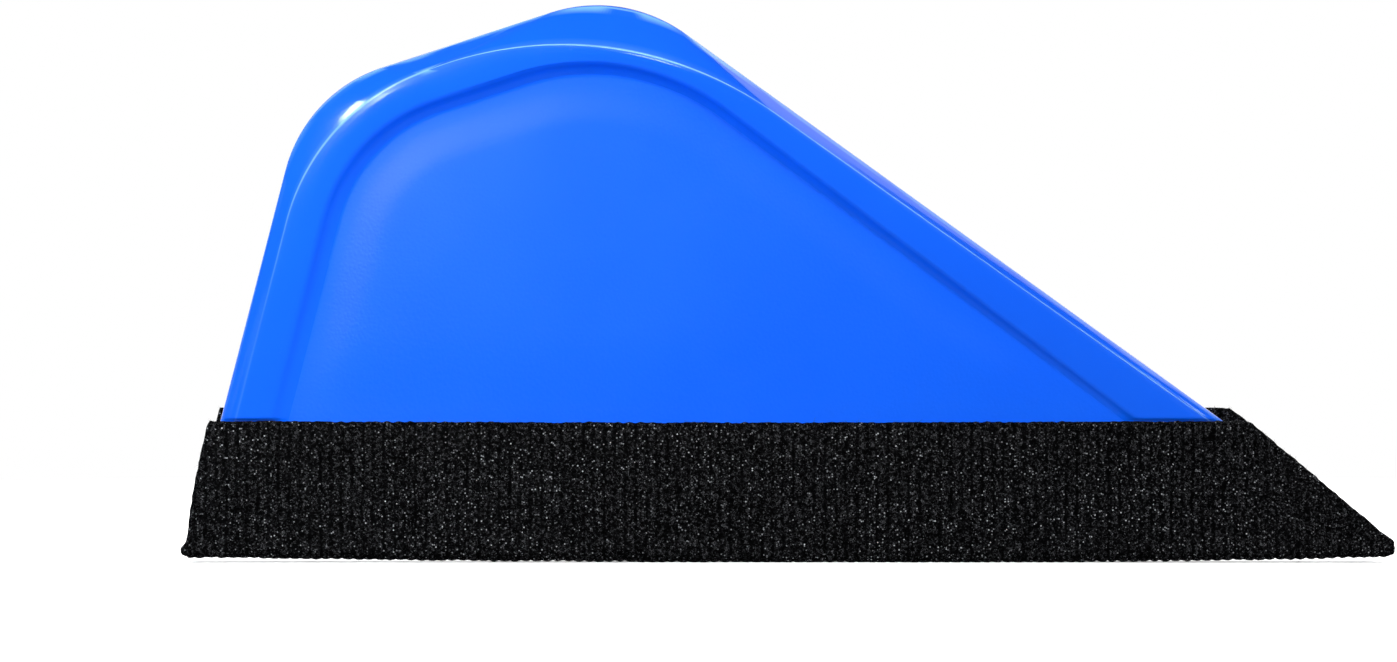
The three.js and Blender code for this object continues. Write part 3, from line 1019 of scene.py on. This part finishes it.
def felt_mesh(settings):
    """The folded felt as one closed strip, in millimetres, and its outer points for the fibres."""
    path, along = felt_path(settings.thickness / MM)
    ragged = settings.raggedness / MM
    columns = felt_columns()
    count = len(path)
    outer, inner = [], []
    fold = (along[-1] - (BACK_FLAP - FRONT_FLAP)) / 2
    for zone, share in columns:
        for j in range(count):
            y_out, z_out, y_in, z_in = path[j]
            side = -1 if y_out < 0 else 1
            heel, toe = felt_reach(side, z_out)
            heel += ragged * noise.noise(Vector((along[j] * 1.1, 5.5, 0)))
            toe += ragged * noise.noise(Vector((along[j] * 1.1, 9.5, 0)))
            scallops = math.cos(math.pi * (along[j] / SCALLOP_PITCH + 0.3 * side))
            toe += SCALLOP * abs(scallops) - SCALLOP_CUT
            if zone == "heel":
                x = heel + (HEEL_ZONE_END - heel) * share
            elif zone == "middle":
                x = share
            else:
                x = TOE_ZONE_START + (toe - TOE_ZONE_START) * share
            to_end = min(x - heel, toe - x)
            to_top = min(along[j], along[-1] - along[j])
            near = max(0.0, min(1.0, min(to_end, to_top) / THIN_WIDTH))
            full = THIN_SHARE + (1 - THIN_SHARE) * math.sqrt(1 - (1 - near) ** 2)
            mid_y, mid_z = (y_out + y_in) / 2, (z_out + z_in) / 2
            spread_y, spread_z = (y_out - y_in) / 2, (z_out - z_in) / 2
            size = math.hypot(spread_y, spread_z)
            relief = knit_relief(x, along[j] - fold, z_out, side, settings) * full
            fringe = 1 - float(smoothstep(to_top, 0, FRINGE))
            wave = ragged * (1.2 * noise.noise(Vector((x * 1.3, side * 4.0, 2.0))))
            wave += 0.8 * ragged * noise.noise(Vector((x * 0.21, side * 9.0, 6.0)))
            lift = wave * fringe if z_out > 5 else 0.0
            if side < 0 and z_out > 5:
                sag = math.cos(max(-1, min(1, (x + 8) / 72)) * math.pi / 2)
                lift -= 0.22 * fringe * sag
            grow = full + relief / size
            raised = mid_z + spread_z * grow + lift
            raised += foot_bow(x) * float(1 - smoothstep(z_out, 0, BOW_FADE))
            outer.append((x, mid_y + spread_y * grow, max(raised, 0.0)))
            inner.append((x, mid_y - spread_y * full, mid_z - spread_z * full + lift))
    return np.array(outer), np.array(inner), len(columns), count


def closed_strip(outer, inner, columns, count):
    """Faces of a thick strip: its outer and inner grids, joined along all four edges."""
    points = [tuple(p * MM) for p in np.concatenate([outer, inner])]
    offset = len(outer)
    faces = grid_faces(columns, count)
    faces += [tuple(reversed(f)) for f in grid_faces(columns, count, offset)]
    for i in range(columns - 1):
        for j in (0, count - 1):
            a, b = i * count + j, (i + 1) * count + j
            faces.append((a, b, b + offset, a + offset))
    for j in range(count - 1):
        for i in (0, columns - 1):
            a, b = i * count + j, i * count + j + 1
            faces.append((a, b, b + offset, a + offset))
    return points, faces


def yarn_lines(tree, vector, scale, width):
    """Thin curled lines, like single fibres lying on the felt."""
    field = noise_node(tree, vector, scale, 2.0, 0.6)
    away = maths(tree, "ABSOLUTE", maths(tree, "SUBTRACT", field.outputs["Fac"], 0.5))
    return spread(tree, away, 0.0, width, 1.0, 0.0)


def knit_felt(settings):
    """Black knitted felt: matted curly yarn over faint ribs, pale fibre lines that are partly a
    painted highlight, painted shade in the rib grooves, and painted glints on fibre ends.
    """
    material, tree, shader, places = new_material("Black Knit Felt")
    colour = tuple(settings.felt_colour)
    painted_glint = (*settings.glint_colour, 1)
    ribs = add_node(tree, "ShaderNodeAttribute", {"attribute_name": "rib_crown"}).outputs["Fac"]
    grain = placed(tree, grain_group(), places, Grains_per_Metre=3800.0, Peak_Share=0.42)
    mottle = placed(tree, mottle_group(), places, Patches_per_Metre=2200.0)
    thin = placed(tree, mottle_group(), places, Patches_per_Metre=70.0)
    curls = yarn_lines(tree, places, 3400.0, 0.06)
    strands = yarn_lines(tree, places, 6200.0, 0.1)
    # Painted glints: rare bright specks mixed into the base colour, with lower roughness, where
    # fibre ends would catch the light.
    cells = add_node(tree, "ShaderNodeTexVoronoi", {"feature": "F1"}, Scale=4600.0)
    tree.links.new(places, cells.inputs["Vector"])
    chosen = tree.nodes.new("ShaderNodeSeparateColor")
    tree.links.new(cells.outputs["Color"], chosen.inputs["Color"])
    rare = spread(tree, chosen.outputs["Red"], 0.9, 1.0, 0.0, 1.0, smooth=False)
    spot = spread(tree, cells.outputs["Distance"], 0.25, 0.6, 1.0, 0.0)
    sparkle = maths(tree, "MULTIPLY", maths(tree, "MULTIPLY", rare, rare), spot)
    dark, pale_highlight = tinted(colour, 0.4, 0.4, 0.4), tinted(colour, 150, 150, 150)
    # Pale fibre lines, partly the yarn's own pale fibres and partly painted highlight; the rib mark
    # makes them stronger on the crowns and weaker in the grooves as painted shade.
    lit = maths(tree, "MULTIPLY_ADD", strands, 0.65, maths(tree, "MULTIPLY", curls, 0.65))
    lit = maths(tree, "MULTIPLY", lit, spread(tree, mottle.outputs["Value"], 0, 1, 0.25, 1.1))
    lit = maths(tree, "MULTIPLY", lit, spread(tree, chosen.outputs["Green"], 0.1, 1, 0.1, 1.2))
    lit = maths(tree, "MULTIPLY", lit, spread(tree, ribs, 0.1, 0.9, 0.3, 1.15))
    lit = maths(tree, "POWER", lit, 1.9)
    base = colour_mix(tree, grain.outputs["Height"], dark, (*colour, 1))
    base = colour_mix(tree, maths(tree, "MULTIPLY", lit, 0.85, clamp=True), base, pale_highlight)
    sparkle = maths(tree, "MULTIPLY", sparkle, spread(tree, thin.outputs["Value"], 0, 1, 0.45, 1.0))
    base = colour_mix(tree, sparkle, base, painted_glint)
    rough = maths(tree, "MULTIPLY_ADD", sparkle, -0.4, 0.92)
    feed(tree, shader, Base_Color=base, Roughness=rough)
    height = maths(tree, "MULTIPLY_ADD", lit, 0.7, grain.outputs["Height"])
    bumped(tree, shader, height, 0.2 * MM)
    shader.inputs["Specular IOR Level"].default_value = 0.01
    return material


FIBRE_SEED = 41
FIBRE_RINGS = 5
RING_ANGLES = (0, 2.094, 4.189)
ROOT_DEPTH = 0.08
FLOOR_GAP = 0.03 * MM

# Of all the fibres, the share along the flaps' tops, then also round the fold, then also at the
# two ends; the others lie anywhere.
TOP_SHARE = 0.3
FOLD_SHARE = 0.36
END_SHARE = 0.42


def fibre_mesh(outer, columns, count, settings):
    """Thin curled fibres standing off the felt, denser along its edges, in metres."""
    rng = random.Random(FIBRE_SEED)
    grid = outer.reshape(columns, count, 3)
    points, faces = [], []
    typical = settings.fibre_length / MM

    def strand(root, out, length, radius):
        """One tapered fibre that leans out of the felt and curls back."""
        lean = Vector([rng.gauss(0, 1) for _ in range(3)])
        lean -= lean.dot(out) * out
        lean.normalize()
        rise = rng.uniform(0.12, 0.5)
        heading = (lean + out * rise).normalized()
        curl = out.cross(heading).normalized() * rng.uniform(-1.1, 1.1)
        place = Vector(root) - out * ROOT_DEPTH
        first, rings = len(points), FIBRE_RINGS
        for k in range(rings):
            side = heading.orthogonal().normalized()
            other = heading.cross(side)
            thick = radius * (1 - 0.75 * k / (rings - 1))
            for angle in RING_ANGLES:
                ring = place + thick * (math.cos(angle) * side + math.sin(angle) * other)
                points.append(tuple(ring * MM))
            place = place + heading * (length / (rings - 1))
            heading = (heading + curl * 0.5 - out * 0.34 * rise).normalized()
        for k in range(rings - 1):
            for s in range(3):
                a, b = first + 3 * k + s, first + 3 * k + (s + 1) % 3
                faces.append((a, b, b + 3, a + 3))
        faces.append((first + 2, first + 1, first))
        last = first + 3 * (rings - 1)
        faces.append((last, last + 1, last + 2))

    for _ in range(settings.fibre_count):
        where = rng.random()
        i = rng.randrange(1, columns - 1)
        j = rng.randrange(1, count - 1)
        edge = None
        if where < TOP_SHARE:
            j, push = rng.choice(((1, -0.35), (2, -0.35), (count - 2, 0.35), (count - 3, 0.35)))
            edge = Vector((rng.uniform(-0.6, 0.6), push, 1))
        elif where < FOLD_SHARE:
            j = count // 2 + rng.randrange(-6, 7)
        elif where < END_SHARE:
            i, push = rng.choice(((1, -1), (2, -1), (columns - 2, 1), (columns - 3, 1)))
            edge = Vector((push, 0, rng.uniform(-0.3, 0.6)))
        here = Vector(grid[i, j])
        across = Vector(grid[i + 1, j]) - Vector(grid[i - 1, j])
        down = Vector(grid[i, j + 1]) - Vector(grid[i, j - 1])
        out = down.cross(across)
        if out.length < 1e-9:
            continue
        out.normalize()
        if out.dot(Vector((0, here.y, here.z - 6 if here.z < 2 else 0))) < 0:
            out = -out
        length = typical * rng.uniform(0.45, 1.35)
        if edge is not None:
            out = edge.normalized()
            length *= 0.6
        strand(here, out, length, rng.uniform(0.011, 0.02))
    points = [(x, y, max(z, FLOOR_GAP)) for x, y, z in points]
    return points, faces


def fibre_material(settings):
    """Loose felt fibres, a little paler than the yarn where they catch the light."""
    material, tree, shader, places = new_material("Loose Felt Fibres")
    colour = tuple(settings.felt_colour)
    mottle = placed(tree, mottle_group(), places, Patches_per_Metre=700.0)
    grain = placed(tree, grain_group(), places, Grains_per_Metre=1500.0, Peak_Share=0.5)
    dark, pale = tinted(colour, 0.8, 0.8, 0.8), tinted(colour, 60, 60, 60)
    base = colour_mix(tree, mottle.outputs["Value"], dark, pale)
    rough = maths(tree, "MULTIPLY_ADD", grain.outputs["Peaks"], -0.25, 0.7)
    feed(tree, shader, Base_Color=base, Roughness=rough)
    bumped(tree, shader, grain.outputs["Height"], 0.004 * MM)
    return material


# ---------------------------------------------------------------- the adhesive film


def adhesive_film(settings):
    """Thin pressure-sensitive film, cloudy where it has wetted the plastic less."""
    material, tree, shader, places = new_material("Clear-Amber Adhesive Film")
    colour = tuple(settings.film_colour)
    mottle = placed(tree, mottle_group(), places, Patches_per_Metre=300.0)
    grain = placed(tree, grain_group(), places, Grains_per_Metre=1800.0, Peak_Share=0.4)
    dark = tinted(colour, 0.8, 0.75, 0.62)
    base = colour_mix(tree, mottle.outputs["Value"], dark, (*colour, 1))
    rough = maths(tree, "MULTIPLY_ADD", grain.outputs["Peaks"], 0.3, 0.35)
    feed(tree, shader, Base_Color=base, Roughness=rough)
    bumped(tree, shader, grain.outputs["Height"], 0.02 * MM)
    return material


# ---------------------------------------------------------------- the stage


def pale_floor(settings):
    """Matt painted floor with a faint unevenness."""
    material, tree, shader, places = new_material("Pale Matt Floor")
    colour = tuple(settings.floor_colour)
    mottle = placed(tree, mottle_group(), places, Patches_per_Metre=6.0)
    grey = tinted(colour, 0.985, 0.985, 0.985)
    feed(tree, shader, Base_Color=colour_mix(tree, mottle.outputs["Value"], grey, (*colour, 1)))
    shader.inputs["Roughness"].default_value = 0.9
    shader.inputs["Specular IOR Level"].default_value = 0.1
    return material


FLOOR_RADIUS = 0.45
FLOOR_SIDES = 96
HEEL_LIGHT_SHARE = 0.6
LEFT_LIGHT_SHARE = 1 / 2.2
GLINT_POWER = 0.05
GLOW_POWER = 0.17
WHITE = (1, 1, 1)
COOL = (0.8, 1, 1)
MIDDLE_AIM = (-0.015, 0, 0.045)
HEEL_AIM = (-0.05, 0, 0.04)
CORNER_AIM = (-0.058, 0, 0.062)
WEB_AIM = (-0.052, 0, 0.045)
LENS_LENGTH = 150
SENSOR_WIDTH = 36
CAMERA_X = -0.01196
CAMERA_Z = 0.03088


def soft_light(name, place, aim, size, power, colour=WHITE, lights="all"):
    """A rectangular light the camera doesn't see, for all of a finish, or only its matt colour or
    only its gloss."""
    lamp = bpy.data.lights.new(name, "AREA")
    lamp.shape = "RECTANGLE"
    lamp.size, lamp.size_y = size
    lamp.energy = power
    lamp.color = colour
    made = bpy.data.objects.new(name, lamp)
    made.location = place
    made.rotation_euler = (Vector(aim) - Vector(place)).to_track_quat("-Z", "Y").to_euler()
    bpy.context.scene.collection.objects.link(made)
    made.visible_camera = False
    made.visible_diffuse = lights != "gloss"
    made.visible_glossy = lights != "matt"
    return made


def room(strength):
    """White surroundings as the camera sees them, and a softer even light on the tool."""
    world = bpy.data.worlds.new("Studio")
    world.use_nodes = True
    tree = world.node_tree
    tree.nodes.clear()
    out = tree.nodes.new("ShaderNodeOutputWorld")
    seen = add_node(tree, "ShaderNodeBackground", Color=(1, 1, 1, 1), Strength=1.0)
    given = add_node(tree, "ShaderNodeBackground", Color=(0.95, 0.97, 1, 1), Strength=strength)
    path = tree.nodes.new("ShaderNodeLightPath")
    mix = tree.nodes.new("ShaderNodeMixShader")
    tree.links.new(path.outputs["Is Camera Ray"], mix.inputs[0])
    tree.links.new(given.outputs[0], mix.inputs[1])
    tree.links.new(seen.outputs[0], mix.inputs[2])
    tree.links.new(mix.outputs[0], out.inputs["Surface"])
    bpy.context.scene.world = world


# ---------------------------------------------------------------- operators


class SQUEEGEE_OT_moulding(bpy.types.Operator):
    """Builds the one-piece plastic moulding: grip rim, web and blade"""

    bl_idname = "squeegee.moulding"
    bl_label = "Moulding"

    def execute(self, context):
        settings = context.scene.squeegee_moulding
        front, front_faces = moulding_half(-1, FRONT_FOOT, settings)
        back, back_faces = moulding_half(1, BACK_FOOT, settings)
        faces = front_faces + [tuple(i + len(front) for i in f) for f in back_faces]
        points = [Vector(p) * MM for p in front + back]
        made = made_object("squeegee_moulding", points, faces)
        mark_web(made)
        mark_painted_highlight(made)
        assign(made, moulded_plastic(settings))
        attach(made, "root")
        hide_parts("squeegee_body")
        return {"FINISHED"}


class SQUEEGEE_OT_felt(bpy.types.Operator):
    """Builds the folded knit felt strip and the loose fibres on it"""

    bl_idname = "squeegee.felt"
    bl_label = "Felt Strip"

    def execute(self, context):
        settings = context.scene.squeegee_felt
        outer, inner, columns, count = felt_mesh(settings)
        points, faces = closed_strip(outer, inner, columns, count)
        strip = made_object("knit_felt_strip", points, faces)
        mark_ribs(strip, settings.rib_pitch / MM)
        assign(strip, knit_felt(settings))
        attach(strip, "root")
        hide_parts("felt_wrap")
        points, faces = fibre_mesh(outer, columns, count, settings)
        fibres = made_object("felt_loose_fibres", points, faces)
        assign(fibres, fibre_material(settings))
        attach(fibres, "root")
        _, along = felt_path(settings.thickness / MM)
        return {"FINISHED"}


class SQUEEGEE_OT_adhesive(bpy.types.Operator):
    """Finishes the adhesive film between the blade and the felt"""

    bl_idname = "squeegee.adhesive"
    bl_label = "Adhesive Film"

    def execute(self, context):
        assign(frame["nodes"]["adhesive_film"], adhesive_film(context.scene.squeegee_adhesive))
        return {"FINISHED"}


class SQUEEGEE_OT_stage(bpy.types.Operator):
    """Builds the pale floor, the soft lights and the camera"""

    bl_idname = "squeegee.stage"
    bl_label = "Stage"

    def execute(self, context):
        settings = context.scene.squeegee_stage
        turns = np.linspace(0, 2 * math.pi, FLOOR_SIDES + 1)[:-1]
        rim = [(FLOOR_RADIUS * math.cos(a), FLOOR_RADIUS * math.sin(a), 0.0) for a in turns]
        floor = made_object("floor", rim, [tuple(range(FLOOR_SIDES))])
        assign(floor, pale_floor(settings))
        floor.visible_diffuse = False
        floor.visible_glossy = False
        key, side = settings.key_power, settings.side_power
        by_heel, left = HEEL_LIGHT_SHARE * key, LEFT_LIGHT_SHARE * side
        strip, rear = settings.strip_power, settings.back_power
        near, wide, broad, tall = (0.08, 0.08), (0.22, 0.22), (0.8, 0.8), (0.012, 0.04)
        for light in (
            ("key_light", (-0.1, -0.13, 0.1), HEEL_AIM, near, key, WHITE, "matt"),
            ("heel_light", (-0.16, -0.12, 0.14), HEEL_AIM, near, by_heel, WHITE, "matt"),
            ("right_light", (0.475, -0.343, 0.097), MIDDLE_AIM, wide, side, WHITE, "matt"),
            ("left_light", (-0.505, -0.343, 0.097), MIDDLE_AIM, wide, left, COOL, "matt"),
            ("crest_strip", (0, -0.52, 0.3), MIDDLE_AIM, (0.7, 0.03), strip, COOL, "gloss"),
            ("corner_glint", (-0.203, -0.14, 0.207), CORNER_AIM, tall, GLINT_POWER, COOL, "gloss"),
            ("web_glow", (-0.149, -0.49, 0.142), WEB_AIM, (0.05, 0.05), GLOW_POWER, COOL, "gloss"),
            ("back_left_light", (-0.4, 0.45, 0.35), MIDDLE_AIM, broad, rear),
            ("back_right_light", (0.4, 0.45, 0.35), MIDDLE_AIM, broad, rear),
        ):
            soft_light(*light)
        wash = soft_light("floor_light", (0, 0, 1.0), (0, 0, 0), (1.6, 1.6), settings.floor_power)
        only_floor = bpy.data.collections.new("floor_light_reach")
        only_floor.objects.link(floor)
        wash.light_linking.receiver_collection = only_floor
        room(settings.room_light)
        lens = bpy.data.cameras.new("camera")
        lens.lens = LENS_LENGTH
        lens.sensor_width = SENSOR_WIDTH
        lens.dof.use_dof = False
        camera = bpy.data.objects.new("camera", lens)
        camera.location = (CAMERA_X, -settings.camera_distance, CAMERA_Z)
        camera.rotation_euler = (math.pi / 2, 0, 0)
        context.scene.collection.objects.link(camera)
        context.scene.camera = camera
        context.scene.view_settings.view_transform = "Standard"
        return {"FINISHED"}


class SQUEEGEE_PT_panel(bpy.types.Panel):
    """Lists the squeegee's pieces and their settings"""

    bl_idname = "SQUEEGEE_PT_panel"
    bl_label = "Hand Squeegee"
    bl_space_type = "VIEW_3D"
    bl_region_type = "UI"
    bl_category = "Squeegee"

    def draw(self, context):
        for operator, group in (
            (SQUEEGEE_OT_moulding, "squeegee_moulding"),
            (SQUEEGEE_OT_felt, "squeegee_felt"),
            (SQUEEGEE_OT_adhesive, "squeegee_adhesive"),
            (SQUEEGEE_OT_stage, "squeegee_stage"),
        ):
            box = self.layout.box()
            box.operator(operator.bl_idname)
            settings = getattr(context.scene, group)
            for name in settings.__annotations__:
                box.prop(settings, name)


SETTINGS = {
    "squeegee_moulding": SqueegeeMouldingSettings,
    "squeegee_felt": SqueegeeFeltSettings,
    "squeegee_adhesive": SqueegeeAdhesiveSettings,
    "squeegee_stage": SqueegeeStageSettings,
}
CLASSES = (
    *SETTINGS.values(),
    SQUEEGEE_OT_moulding,
    SQUEEGEE_OT_felt,
    SQUEEGEE_OT_adhesive,
    SQUEEGEE_OT_stage,
    SQUEEGEE_PT_panel,
)


def register():
    for cls in CLASSES:
        bpy.utils.register_class(cls)
    for name, group in SETTINGS.items():
        setattr(bpy.types.Scene, name, bpy.props.PointerProperty(type=group))


def unregister():
    for name in SETTINGS:
        delattr(bpy.types.Scene, name)
    for cls in reversed(CLASSES):
        bpy.utils.unregister_class(cls)


def main():
    register()
    bpy.ops.squeegee.moulding()
    bpy.ops.squeegee.felt()
    bpy.ops.squeegee.adhesive()
    bpy.ops.squeegee.stage()


if __name__ == "__main__":
    main()
